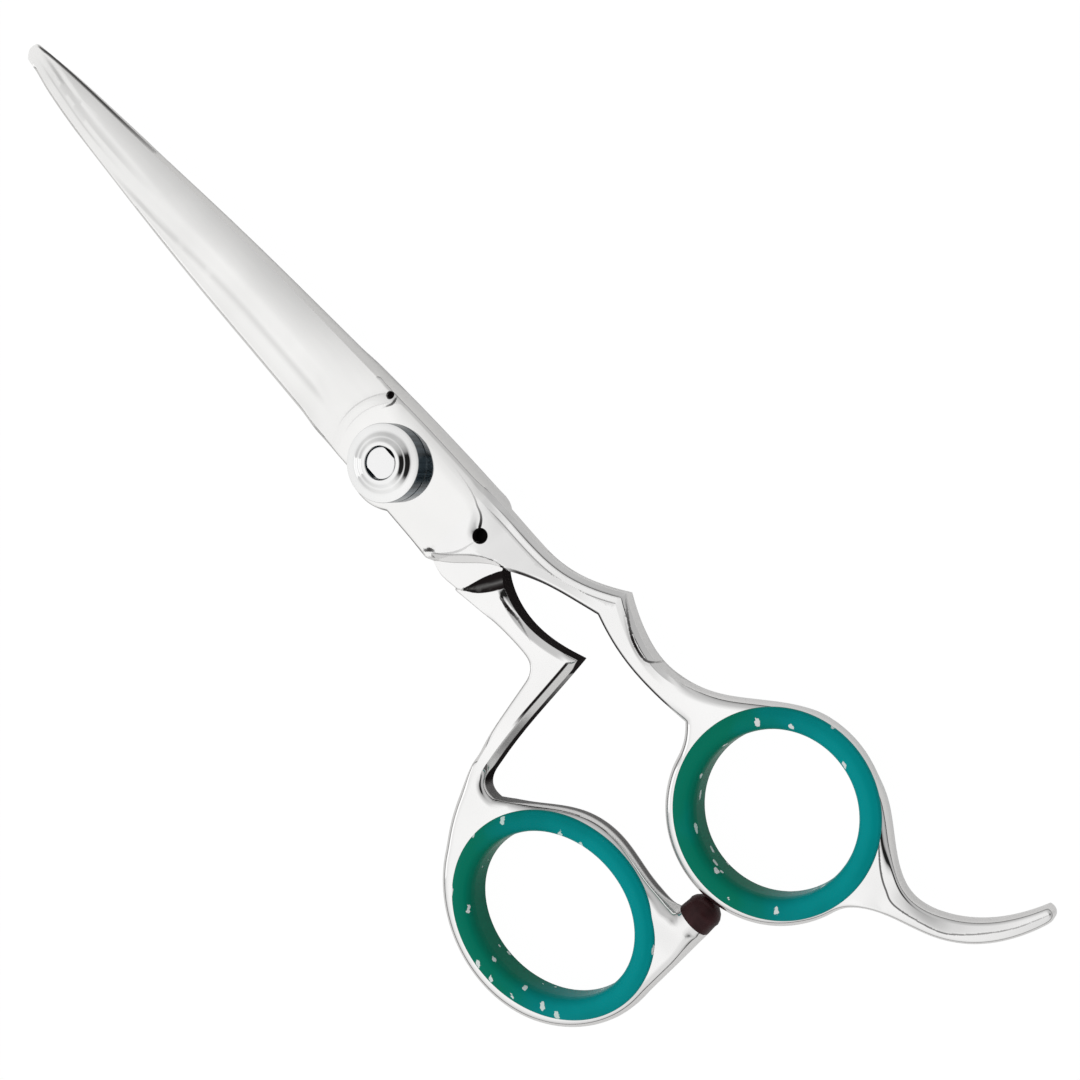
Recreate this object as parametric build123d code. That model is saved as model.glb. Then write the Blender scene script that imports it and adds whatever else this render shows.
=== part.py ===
from build123d import *
import os
from math import cos, radians, sin

# Hair cutting shears with a tension dial, lying closed on a flat surface.
# Millimetres.  The origin is on the pivot axis, in the plane that the shears rest on.
# +X runs from the pivot to the blade tips, +Y to the thumb ring's side, +Z up.

# ---- driving dimensions ----
TIP_X = 80.0             # pivot to blade tips
LOWER_FACE = 0.8         # underside of the thumb half
MATE = 3.6               # inner face of the thumb half
RUN_GAP = 0.05           # running gap between the two halves
UPPER_FACE = 6.4         # outer face of the finger half at the pivot
RING_BASE = 0.8          # underside of both ring castings
RING_TOP = 4.6           # top of both ring castings
RING_MID = (RING_BASE + RING_TOP) / 2

BOSS_R = 6.15            # round lug about the pivot
JOINT_X = -12.0          # where each blade is welded to its cast handle
CROTCH_X = -21.0         # the handles stop lying one over the other here
RISE_FOOT = ((-17.2, 5.8), (-20.0, -1.4))    # behind this line the thumb half is full height
RISE_RUN = 1.0           # width of the slope up to that height

BLADE_ROOT_X = 8.0       # the blades are full thickness from here back
TIP_THICK = 0.9          # thickness of each blade's spine at the tip
EDGE_THICK = 0.3         # flat left along each cutting side
BEYOND = 120.0           # reach of a cutting block that clears the whole object

FINGER_RING = (-64.6, -5.75)     # centre of the finger ring casting
FINGER_RING_R = 13.55
FINGER_HOLE = (-64.9, -6.4)      # centre of its hole and insert
FINGER_BORE_R = 10.1             # inside the insert, a 20 mm class finger hole
THUMB_HOLE = (-55.2, 24.3)       # centre of the oval thumb hole
THUMB_BORE = (11.45, 9.7)        # half axes inside the insert
THUMB_TILT = 10.0                # degrees from +X to the oval's long axis
INSERT_WALL = 1.25               # bore to the metal ring
FLANGE_WIDTH = 2.8               # bore to the flange's edge
FLANGE_LIP = 0.8                 # flange thickness over each face of the ring
FIT = 0.02                       # clearance of a part that slips into place

JOURNAL_R = 2.5          # stud where the finger half turns on it
BUSH_R = 3.2
BUSH_RUN = 0.03          # radial running clearance in the bush
STUD_R = 2.1             # threaded end of the stud
STUD_FLAT = 1.7          # axis to each flat of the double-D end
KEY_FLAT = 2.0           # axis to each flat where the thumb half is keyed
HEAD_R = 4.3
DIAL_R = 5.05
DIAL_RIM_Z = 8.9         # top of the dial's straight side
DIAL_TOP_Z = 9.5         # top of its crown
DIAL_BEVEL = (0.35, 0.25)        # width and height of the bevel at the crown's rim
CROWN_HALFWAY = (3.65, 9.34)     # the crown's curve, as radius and height
CROWN_EDGE_R = 2.35      # crown's inner edge, bevelled into the threaded bore
CAVITY_R = 4.45
STUD_TOP_Z = 9.25
WASHER_R = 4.4
RECESS = 0.25            # depth of the washer's seat in the thumb half

DIMPLE = (-15.1, -2.4)   # drilled mark behind the pivot
DIMPLE_R = 1.0
DIMPLE_DEPTH = 0.8

THRUST_R = 4.2
WAVE_R = 3.9
CLICK_R = 4.1
CLICK_BUMPS = (3.4, 0.35, 0.12)  # of the click plate: their circle, radius and height
THRUST_Z = (UPPER_FACE, 6.65)
WAVE_Z = (6.65, 7.05)
CLICK_Z = (7.05, 7.4)
DIAL_BASE_Z = 6.6

BUMPER_X = -67.5
BUMPER_R = 2.35
LUG_END_Y = 11.05        # where the bumper meets its lug
LUG_LENGTH = 4.5
STEM_R = 1.1
STEM_LENGTH = 2.4
NOSE_R = 2.2             # rounding of the bumper's nose
NOSE_REACH = 0.8         # from the bumper's axis to where its nose comes nearest the ring


def around(centre, radius, angle):
    """Point on a circle at an angle in degrees from +X."""
    turn = radians(angle)
    return (centre[0] + radius * cos(turn), centre[1] + radius * sin(turn))


def arc_about(centre, radius, start, end):
    """Arc of a circle between two angles in degrees."""
    middle = (start + end) / 2
    return ThreePointArc(*(around(centre, radius, a) for a in (start, middle, end)))


def slab(plan, base, top):
    """Plan face made into a plate between two heights."""
    return extrude(Plane.XY.offset(base) * plan, amount=top - base)


def disc(radius, base, top, centre=(0, 0)):
    return slab(Pos(*centre) * Circle(radius), base, top)


def double_d(radius, flat, base, top):
    """Round bar with two flats that face +Y and -Y."""
    return slab(Circle(radius) & Rectangle(4 * radius, 2 * flat), base, top)


def side_view(low_edges, high_edges):
    """Solid bounded by two lines seen from the side, wide enough for either half."""
    left = Line(low_edges[-1] @ 1, high_edges[-1] @ 1)
    right = Line(low_edges[0] @ 0, high_edges[0] @ 0)
    profile = make_face([*low_edges, *high_edges, left, right])
    return extrude(Plane.XZ * profile, amount=BEYOND, both=True)


def ease(x0, z0, x1, z1):
    """Side-view line that leaves and arrives level."""
    return Spline((x0, z0), (x1, z1), tangents=[(-1, 0), (-1, 0)])


# ---- outlines of the two halves, seen from above ----

def finger_plan():
    """Finger half: blade, pivot boss, shank, ring and finger rest."""
    crown = (TIP_X - 0.9, 1.35)
    point = (TIP_X - 0.5, -1.05)
    heel = (-10.0, -6.85)
    knuckle = (-33.2, -11.1)
    elbow = (-32.6, -6.6)
    web = (-49.4, -5.4)
    crotch = (-20.3, -1.7)
    tang = (-12.6, 4.9)
    ring_in, ring_rest, rest_in, ring_web = -68.8, -112.6, 167.2, 21.0
    onto_ring = around(FINGER_RING, FINGER_RING_R, ring_in)
    off_ring = around(FINGER_RING, FINGER_RING_R, ring_rest)
    rest_root = around(FINGER_RING, FINGER_RING_R, rest_in)
    web_root = around(FINGER_RING, FINGER_RING_R, ring_web)
    rest_end_a, rest_end, rest_end_b = (-93.3, -23.2), (-94.2, -23.4), (-94.9, -22.0)
    boss_a, boss_b = 51.0, 129.0
    boss_on = around((0, 0), BOSS_R, boss_a)
    boss_off = around((0, 0), BOSS_R, boss_b)
    return make_face([
        Spline(point, (72, -2.0), (60.6, -2.95), (40.5, -4.65), (20.4, -5.85), (5, -6.6), heel),
        Spline(heel, (-20, -7.0), (-26, -7.6), (-30.8, -9.6), knuckle),
        Spline(knuckle, (-37.7, -8.8), (-42, -7.85), (-47.8, -9.4), (-53.8, -14.1), onto_ring),
        arc_about(FINGER_RING, FINGER_RING_R, ring_in, ring_rest),
        Spline(off_ring, (-74, -16.3), (-78, -13.4), (-82.3, -11.7), (-87, -13.5), (-90.6, -17.3),
               rest_end_a),
        ThreePointArc(rest_end_a, rest_end, rest_end_b),
        Spline(rest_end_b, (-93.9, -18.4), (-91.3, -13.7), (-87, -10.2), (-81.5, -7.7), (-79, -5.7),
               rest_root),
        arc_about(FINGER_RING, FINGER_RING_R, rest_in, ring_web),
        Spline(web_root, (-50.5, -4.2), web),
        Spline(web, (-45, -5.05), (-40, -5.0), (-36, -5.6), elbow),
        Spline(elbow, (-27, -4.9), (-23, -3.3), crotch),
        Spline(crotch, (-18.2, -0.4), (-15.2, 2.6), tang),
        Line(tang, boss_off),
        arc_about((0, 0), BOSS_R, boss_b, boss_a),
        Spline(boss_on, (10, 4.8), (19.6, 4.65), (39.5, 4.3), (59.4, 3.4), (72, 2.45), crown),
        Spline(crown, (TIP_X, 0.1), point),
    ])


def thumb_plan():
    """Thumb half: blade, pivot boss, heel, cranked shank and oval ring."""
    crown = (TIP_X - 1.0, 1.1)
    point = (TIP_X - 0.6, -0.95)
    heel = (-12.0, -6.75)
    heel_end = (-14.6, -6.1)
    crotch = (-19.7, -0.6)
    corner = (-34.7, -0.5)
    ring_start = (-39.6, 20.3)
    lug_root = (-64.0, 11.6)
    lug_left = (BUMPER_X + BUMPER_R, LUG_END_Y)
    lug_right = (BUMPER_X - BUMPER_R, LUG_END_Y)
    ring_side = (-70.1, 22.0)
    ring_join = (-39.5, 29.8)
    shoulder = (-31.9, 6.6)
    shank_end = (-30.2, 4.3)
    tang = (-14.2, 6.0)
    tang_in = (-10.5, 4.75)
    boss_a, boss_b = 48.0, 131.0
    boss_on = around((0, 0), BOSS_R, boss_a)
    boss_off = around((0, 0), BOSS_R, boss_b)
    return make_face([
        Spline(point, (72, -1.85), (60.6, -2.8), (40.5, -4.45), (20.4, -5.65), (5, -6.4), heel),
        Spline(heel, (-13.6, -6.7), heel_end),
        Line(heel_end, crotch),
        Spline(crotch, (-23.3, 1.1), (-27.5, 1.5), (-31.4, 0.75), corner),
        Spline(corner, (-35.1, 5), (-35.6, 12), (-36.4, 17.6)),
        Spline((-36.4, 17.6), (-37.8, 20.3), ring_start),
        Spline(ring_start, (-44.5, 15.9), (-49.3, 12.3), (-54, 11.2), (-60, 11.8), lug_root),
        Spline(lug_root, (-64.7, 11.35), lug_left),
        Line(lug_left, lug_right),
        Spline(lug_right, (-69.95, 15), ring_side),
        Spline(ring_side, (-68.4, 30.6), (-62.6, 36.4), (-54.2, 38.4), (-46, 36.1), ring_join),
        Spline(ring_join, (-35.8, 23.4), (-33.3, 14.6), shoulder),
        Spline(shoulder, (-31.3, 5.0), shank_end),
        Spline(shank_end, (-25, 4.4), (-19, 5.2), tang),
        Spline(tang, (-12.3, 5.5), tang_in),
        Line(tang_in, boss_off),
        arc_about((0, 0), BOSS_R, boss_b, boss_a),
        Spline(boss_on, (10, 4.4), (19.6, 4.25), (39.5, 3.9), (59.4, 3.0), (72, 2.1), crown),
        Spline(crown, (TIP_X - 0.1, 0.1), point),
    ])


# ---- the sculpted outer face of a blade ----

def blade_envelope(inner, outward):
    """Wide solid whose outer face is convex, thick near the spine and thin at the edge.

    inner is the height of the blade's inner face, outward +1 for the finger blade,
    whose spine is on +Y, and -1 for the thumb blade, whose spine is on -Y.
    """
    sections = []
    for x, spine, edge in ((TIP_X + 2, 2, -2), (60, 3.2, -3), (36, 4.4, -5.2), (BLADE_ROOT_X, 5.2, -6.9)):
        along = (TIP_X - min(x, TIP_X)) / (TIP_X - BLADE_ROOT_X)
        thick = TIP_THICK + (UPPER_FACE - MATE - RUN_GAP - TIP_THICK) * along ** 0.8
        spine_y, edge_y = spine * outward, edge * outward
        width = spine_y - edge_y
        beside_spine = spine_y + 2 * outward
        beside_edge = edge_y - outward
        heights = ((beside_edge, 0), (beside_edge, EDGE_THICK - 0.1), (edge_y, EDGE_THICK),
                   (edge_y + 0.3 * width, 0.72 * thick), (edge_y + 0.62 * width, thick),
                   (spine_y, 0.62 * thick), (beside_spine, 0.5 * thick), (beside_spine, 0))
        corners = [(x, y, inner + outward * z) for y, z in heights]
        sections.append(Face(Wire.make_polygon(corners)))
    return loft(sections, ruled=True)


def pivot_block(base, top):
    """Full-thickness stretch from the ricasso back past the end of the finger rest."""
    return Pos(BLADE_ROOT_X - BEYOND / 2, 0, (base + top) / 2) * Box(BEYOND, BEYOND, top - base)


def shank_rise():
    """Ground behind the finger half's rear edge, where the thumb half slopes up to full height."""
    end, start = (Vector(*point, MATE) for point in RISE_FOOT)
    along = (end - start).normalized()
    rearward = Vector(0, 0, 1).cross(along)
    rise = RING_TOP - MATE
    corners = [(0, 0), (RISE_RUN, rise), (BEYOND, rise), (BEYOND, 0)]
    profile = make_face(Polyline(*corners, close=True))
    across = Plane(origin=(start + end) * 0.5, x_dir=rearward, z_dir=along)
    return extrude(across * profile, amount=BEYOND, both=True)


def finger_half():
    """Blade and handle of the finger half before the weld line parts them."""
    base = MATE + RUN_GAP
    low = [Line((90, base), (CROTCH_X, base)), ease(CROTCH_X, base, -46, RING_BASE),
           Line((-46, RING_BASE), (-100, RING_BASE))]
    high = [Line((90, UPPER_FACE), (-14, UPPER_FACE)), ease(-14, UPPER_FACE, -46, RING_TOP),
            Line((-46, RING_TOP), (-100, RING_TOP))]
    body = slab(finger_plan(), RING_BASE, UPPER_FACE) & side_view(low, high)
    thickness = blade_envelope(base, 1) + pivot_block(RING_BASE, UPPER_FACE)
    return body & thickness


def thumb_half():
    """Blade and handle of the thumb half before the weld line parts them."""
    body = slab(thumb_plan(), RING_BASE, MATE)
    body += slab(thumb_plan(), MATE, RING_TOP) & shank_rise()
    thickness = blade_envelope(MATE, -1) + pivot_block(LOWER_FACE, RING_TOP)
    return body & thickness


def ahead_of_weld():
    return Pos(JOINT_X + BEYOND / 2, 0, 0) * Box(BEYOND, BEYOND, BEYOND)


# ---- rings and inserts ----

def oval(growth):
    """Plan of the thumb hole grown by an even width."""
    half_axes = [axis + growth for axis in THUMB_BORE]
    return Pos(*THUMB_HOLE) * Rot(0, 0, THUMB_TILT) * Ellipse(*half_axes)


def bobbin(plan_of):
    """Ring insert: a sleeve in the metal ring with a flange over each face."""
    sleeve = slab(plan_of(INSERT_WALL), RING_BASE, RING_TOP)
    below = slab(plan_of(FLANGE_WIDTH), RING_BASE - FLANGE_LIP, RING_BASE)
    above = slab(plan_of(FLANGE_WIDTH), RING_TOP, RING_TOP + FLANGE_LIP)
    through = slab(plan_of(0), RING_BASE - 2, RING_TOP + 2)
    body = sleeve + below + above - through
    rims = [edge for edge in body.edges() if edge.center().Z > RING_TOP + FLANGE_LIP - 0.01]
    body = chamfer(rims, 0.35)
    feet = [edge for edge in body.edges() if edge.center().Z < RING_BASE - FLANGE_LIP + 0.01]
    return chamfer(feet, 0.25)


def finger_round(growth):
    return Pos(*FINGER_HOLE) * Circle(FINGER_BORE_R + growth)


# ---- the four metal pieces ----

def finger_blade(half):
    blade = half & ahead_of_weld()
    return blade - disc(BUSH_R + FIT, MATE, UPPER_FACE + 1)


def finger_handle(half):
    handle = half - ahead_of_weld()
    handle -= slab(finger_round(INSERT_WALL + FIT), 0, DIAL_TOP_Z)
    return handle - disc(DIMPLE_R, UPPER_FACE - DIMPLE_DEPTH, DIAL_TOP_Z, DIMPLE)


def thumb_blade(half):
    blade = half & ahead_of_weld()
    blade -= disc(WASHER_R + FIT, MATE - RECESS, MATE + 1)
    return blade - double_d(JOURNAL_R + FIT, KEY_FLAT + FIT, 0, MATE + 1)


def bumper_axis(start, end, radius):
    """Round bar along Y at the bumper's place."""
    middle = (start + end) / 2
    return Pos(BUMPER_X, middle, RING_MID) * Rot(90, 0, 0) * Cylinder(radius, end - start)


def thumb_handle(half):
    handle = half - ahead_of_weld()
    lug = bumper_axis(LUG_END_Y, LUG_END_Y + LUG_LENGTH, BUMPER_R)
    handle += lug
    handle -= slab(oval(INSERT_WALL + FIT), 0, DIAL_TOP_Z)
    return handle - bumper_axis(LUG_END_Y - 1, LUG_END_Y + STEM_LENGTH + FIT, STEM_R + FIT)


def bumper():
    """Rubber stop with a stem pressed into the lug and a rounded nose at the finger ring."""
    across = BUMPER_X + NOSE_REACH - FINGER_RING[0]
    nose_y = FINGER_RING[1] + (FINGER_RING_R ** 2 - across ** 2) ** 0.5
    body = bumper_axis(nose_y, LUG_END_Y, BUMPER_R)
    nose = [edge for edge in body.edges() if edge.center().Y < nose_y + 0.01]
    body = fillet(nose, NOSE_R)
    return body + bumper_axis(LUG_END_Y, LUG_END_Y + STEM_LENGTH, STEM_R)


# ---- the pivot, from the rest plane up ----

def pivot_stud():
    """Flat head, keyed neck, round journal and threaded double-D end in one piece."""
    head = disc(HEAD_R, 0, LOWER_FACE)
    head = chamfer(head.edges().group_by(Axis.Z)[0], 0.2)
    neck = double_d(JOURNAL_R, KEY_FLAT, LOWER_FACE, MATE - RECESS)
    journal = disc(JOURNAL_R, MATE - RECESS, UPPER_FACE)
    end = double_d(STUD_R, STUD_FLAT, UPPER_FACE, STUD_TOP_Z)
    return head + neck + journal + end


def ring_disc(outer, inner, base, top):
    return disc(outer, base, top) - disc(inner, base - 1, top + 1)


def blade_washer():
    """Plastic washer seated in the thumb half, which the finger half slides on."""
    return ring_disc(WASHER_R, JOURNAL_R + FIT, MATE - RECESS, MATE + RUN_GAP)


def pivot_bush():
    """Sleeve pressed into the finger half, which turns on the stud's journal."""
    return ring_disc(BUSH_R, JOURNAL_R + BUSH_RUN, MATE + RUN_GAP, UPPER_FACE)


def thrust_washer():
    return ring_disc(THRUST_R, STUD_R + FIT, *THRUST_Z)


def wave_washer():
    """Sprung washer, dished, under the click plate."""
    return ring_disc(WAVE_R, STUD_R + FIT, *WAVE_Z)


def click_plate():
    """Plate keyed to the stud's flats with two arms' bumps that the dial clicks over."""
    plate = disc(CLICK_R, *CLICK_Z)
    bump_circle, bump_r, bump_height = CLICK_BUMPS
    for side in (0, 180):
        plate += disc(bump_r, CLICK_Z[1], CLICK_Z[1] + bump_height, around((0, 0), bump_circle, side))
    return plate - double_d(STUD_R + FIT, STUD_FLAT + FIT, CLICK_Z[0] - 1, CLICK_Z[1] + 1)


def tension_dial():
    """Domed nut on the threaded end, hollow below for the washers and click plate."""
    bore_r = STUD_R + BUSH_RUN
    cavity_top = CLICK_Z[1] + CLICK_BUMPS[2] + FIT
    rim_r, rim_z = DIAL_R - DIAL_BEVEL[0], DIAL_RIM_Z - DIAL_BEVEL[1]
    bore_edge_z = DIAL_TOP_Z - 0.15
    profile = make_face([
        Polyline((rim_r, DIAL_RIM_Z), (DIAL_R, rim_z), (DIAL_R, DIAL_BASE_Z), (CAVITY_R, DIAL_BASE_Z),
                 (CAVITY_R, cavity_top), (bore_r, cavity_top), (bore_r, bore_edge_z),
                 (CROWN_EDGE_R, DIAL_TOP_Z)),
        ThreePointArc((rim_r, DIAL_RIM_Z), CROWN_HALFWAY, (CROWN_EDGE_R, DIAL_TOP_Z)),
    ])
    return revolve(Plane.XZ * profile, Axis.Z)


def main():
    finger = finger_half()
    thumb = thumb_half()
    nodes = {
        "finger_blade": finger_blade(finger),
        "finger_handle": finger_handle(finger),
        "finger_insert": bobbin(finger_round),
        "thumb_blade": thumb_blade(thumb),
        "thumb_handle": thumb_handle(thumb),
        "thumb_insert": bobbin(oval),
        "bumper": bumper(),
        "pivot_stud": pivot_stud(),
        "blade_washer": blade_washer(),
        "pivot_bush": pivot_bush(),
        "thrust_washer": thrust_washer(),
        "wave_washer": wave_washer(),
        "click_plate": click_plate(),
        "tension_dial": tension_dial(),
    }
    os.makedirs("parts", exist_ok=True)
    for name, shape in nodes.items():
        export_step(shape, f"parts/{name}.step")


main()
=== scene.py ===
from math import cos, pi, radians, sin, tan

import bmesh
import bpy
import numpy as np
from mathutils import Matrix, Vector
from mathutils.geometry import delaunay_2d_cdt


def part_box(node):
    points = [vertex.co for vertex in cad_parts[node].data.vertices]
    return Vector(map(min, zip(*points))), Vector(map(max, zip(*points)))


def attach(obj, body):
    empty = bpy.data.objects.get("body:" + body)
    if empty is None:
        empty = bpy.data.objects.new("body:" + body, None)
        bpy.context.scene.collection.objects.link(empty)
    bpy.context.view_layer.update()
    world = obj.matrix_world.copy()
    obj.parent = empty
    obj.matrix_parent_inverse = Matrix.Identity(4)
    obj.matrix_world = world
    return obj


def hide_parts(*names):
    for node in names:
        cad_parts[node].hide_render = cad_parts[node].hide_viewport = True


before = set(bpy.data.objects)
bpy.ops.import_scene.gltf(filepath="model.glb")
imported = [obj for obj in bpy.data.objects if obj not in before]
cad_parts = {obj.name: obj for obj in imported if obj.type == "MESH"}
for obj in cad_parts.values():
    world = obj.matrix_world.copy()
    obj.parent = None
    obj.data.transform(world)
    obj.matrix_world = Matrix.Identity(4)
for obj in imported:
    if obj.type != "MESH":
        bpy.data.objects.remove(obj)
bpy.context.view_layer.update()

# Looks of a pair of hair cutting shears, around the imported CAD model.
# Shapes are worked out in millimetres in the row frame and made in metres.
# +X runs to the blade tips, +Y to the thumb ring's side, +Z up from the rest plane.

MM = 0.001

# ---- places and sizes read from the frame ----

def low(node):
    return np.array(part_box(node)[0]) / MM


def high(node):
    return np.array(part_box(node)[1]) / MM


TIP_X = high("finger_blade")[0]
SEAM_X = low("finger_blade")[0]
MATE = high("thumb_blade")[2]
UPPER_INNER = low("finger_blade")[2]
UPPER_FACE = high("finger_blade")[2]
LOWER_FACE = low("thumb_blade")[2]
DIAL_R = high("tension_dial")[0]
DIAL_TOP = high("tension_dial")[2]
INSERT_TOP = high("finger_insert")[2]
RING_BASE = low("finger_handle")[2]
RING_TOP = INSERT_TOP - RING_BASE
CAVITY_TOP = high("click_plate")[2] + 0.02
BUSH_R = high("pivot_bush")[0]
SECTION_STEP = 0.1       # the plan is cut this far from the inner faces
STRAIGHT = 0.02          # degrees: a smaller turn isn't a corner at all
CORNER = 24.0            # degrees: a larger turn stays sharp


# ---- outlines, cut from the CAD nodes ----

def section(node, height):
    """Segments where a level plane cuts a CAD node."""
    mesh = bmesh.new()
    mesh.from_mesh(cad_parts[node].data)
    bmesh.ops.remove_doubles(mesh, verts=mesh.verts, dist=1e-7)
    geometry = mesh.verts[:] + mesh.edges[:] + mesh.faces[:]
    cut = bmesh.ops.bisect_plane(
        mesh, geom=geometry, plane_co=(0, 0, height * MM), plane_no=(0, 0, 1))["geom_cut"]
    edges = [e for e in cut if isinstance(e, bmesh.types.BMEdge)]
    lines = [[tuple(round(c / MM, 4) for c in v.co.xy) for v in e.verts] for e in edges]
    mesh.free()
    return [pair for pair in lines if pair[0] != pair[1]]


def on_seam(line):
    return all(abs(x - SEAM_X) < 1e-3 for x, y in line)


def joined(lines):
    """Segments joined end to end into closed loops."""
    links = {}
    for a, b in lines:
        links.setdefault(a, []).append(b)
        links.setdefault(b, []).append(a)
    loops = []
    while links:
        first = next(iter(links))
        loop = [first]
        here = first
        while links.get(here):
            there = links[here].pop()
            links[there].remove(here)
            if not links[here]:
                del links[here]
            loop.append(there)
            here = there
        links.pop(here, None)
        loops.append(np.array(loop[:-1]))
    return sorted(loops, key=lambda loop: -np.ptp(loop, axis=0).sum())


def turning(points):
    """Angle that a closed loop turns through at each point, in degrees."""
    before = points - np.roll(points, 1, axis=0)
    after = np.roll(points, -1, axis=0) - points
    cross = before[:, 0] * after[:, 1] - before[:, 1] * after[:, 0]
    return np.degrees(np.arctan2(cross, (before * after).sum(1)))


def without_straight_points(points):
    return points[np.abs(turning(points)) > STRAIGHT]


def counter_clockwise(points):
    following = np.roll(points, -1, axis=0)
    area = (points[:, 0] * following[:, 1] - points[:, 1] * following[:, 0]).sum()
    return points if area > 0 else points[::-1]


def even(points, step, sweeps=14):
    """A closed loop divided evenly and smoothed, with its sharp corners kept."""
    points = without_straight_points(counter_clockwise(points))
    sharp = np.flatnonzero(np.abs(turning(points)) > CORNER)
    if len(sharp) == 0:
        sharp = np.array([0])
    smooth_through = len(sharp) == 1
    runs = []
    for i, start in enumerate(sharp):
        end = sharp[(i + 1) % len(sharp)]
        count = (end - start) % len(points) or len(points)
        run = points[(start + np.arange(count + 1)) % len(points)]
        length = np.append(0, np.cumsum(np.linalg.norm(np.diff(run, axis=0), axis=1)))
        parts = max(2, int(round(length[-1] / step)))
        at = np.linspace(0, length[-1], parts + 1)
        run = np.column_stack([np.interp(at, length, run[:, k]) for k in (0, 1)])
        for _ in range(sweeps):
            run[1:-1] = run[:-2] / 4 + run[1:-1] / 2 + run[2:] / 4
            if smooth_through:
                run[0] = run[-1] = run[-2] / 4 + run[0] / 2 + run[1] / 4
        runs.append(run[:-1])
    return np.concatenate(runs)


def half_outline(blade, handle, heights, step=0.25):
    """Outer outline of one half and its ring hole, from level cuts at two heights."""
    lines = section(blade, heights[0]) + section(handle, heights[1])
    loops = joined([line for line in lines if not on_seam(line)])
    return even(loops[0], step), even(loops[1], step)


# ---- distances in the plan ----

CLOSE = 0.07             # between mesh points on the two sides of a sharp change of finish
ON_LINE = 0.02           # a point this near to a line counts as on it


def to_the_right(along):
    """Unit vectors at a right angle to the given ones, on their right."""
    along = along / np.linalg.norm(along, axis=1)[:, None]
    return np.column_stack([along[:, 1], -along[:, 0]])


def outward_normals(loop):
    return to_the_right(np.roll(loop, -1, axis=0) - np.roll(loop, 1, axis=0))


def projected(points, starts, spans):
    """For each point its nearest span, how far along that it falls, and its offset from there."""
    offset = points[:, None] - starts[None]
    along = np.clip((offset * spans).sum(2) / (spans ** 2).sum(1), 0, 1)
    gap = offset - along[..., None] * spans
    best = (gap ** 2).sum(2).argmin(1)
    rows = np.arange(len(points))
    return best, along[rows, best], gap[rows, best]


def nearest(points, loop, at_once=800):
    """Distance of each point to a closed loop, and the loop's nearest place."""
    spans = np.roll(loop, -1, axis=0) - loop
    places, distances = [np.empty((0, 2))], [np.empty(0)]
    for begin in range(0, len(points), at_once):
        best, along, gap = projected(points[begin:begin + at_once], loop, spans)
        places.append(loop[best] + along[:, None] * spans[best])
        distances.append(np.sqrt((gap ** 2).sum(1)))
    return np.concatenate(distances), np.concatenate(places)


def inside(points, loop):
    """Whether each point lies inside a closed loop."""
    result = np.zeros(len(points), bool)
    following = np.roll(loop, -1, axis=0)
    for (ax, ay), (bx, by) in zip(loop, following):
        if ay != by:
            crosses = (ay > points[:, 1]) != (by > points[:, 1])
            result ^= crosses & (points[:, 0] < (bx - ax) * (points[:, 1] - ay) / (by - ay) + ax)
    return result


def circle(radius, centre=(0, 0), step=0.2):
    count = max(16, int(round(2 * pi * radius / step)))
    turns = np.arange(count) * 2 * pi / count
    return np.column_stack([centre[0] + radius * np.cos(turns), centre[1] + radius * np.sin(turns)])


def arc(radius, start, end, step=0.2):
    """Points of an arc about the pivot between two angles in degrees."""
    count = max(3, int(round(radius * radians(abs(end - start)) / step)))
    turns = np.radians(np.linspace(start, end, count))
    return np.column_stack([radius * np.cos(turns), radius * np.sin(turns)])


def share(value, start, end):
    """How far value is from start to end, from 0 to 1."""
    return np.clip((value - start) / (end - start), 0, 1)


def ramp(value, start, end):
    """0 before start, 1 after end, and a smooth rise between."""
    t = share(value, start, end)
    return t * t * (3 - 2 * t)


def between(value, start, end, blend):
    """1 where value lies between start and end, easing to 0 outside."""
    return ramp(value, start - blend, start + blend) * (1 - ramp(value, end - blend, end + blend))


def line_at(distance, place, width=0.06):
    """1 on a line at some distance, 0 away from it."""
    return np.exp(-((distance - place) / width) ** 2)


def rounded(distance, width):
    """How far a rounded edge has dropped, from 1 at the outline to 0 at its width."""
    t = share(distance, 0, width)
    return 1 - np.sqrt(np.clip(1 - (1 - t) ** 2, 0, 1))


def sloped(distance, width):
    """A flat bevel's drop, from 1 at the outline to 0 at its width."""
    return 1 - share(distance, 0, width)


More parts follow.
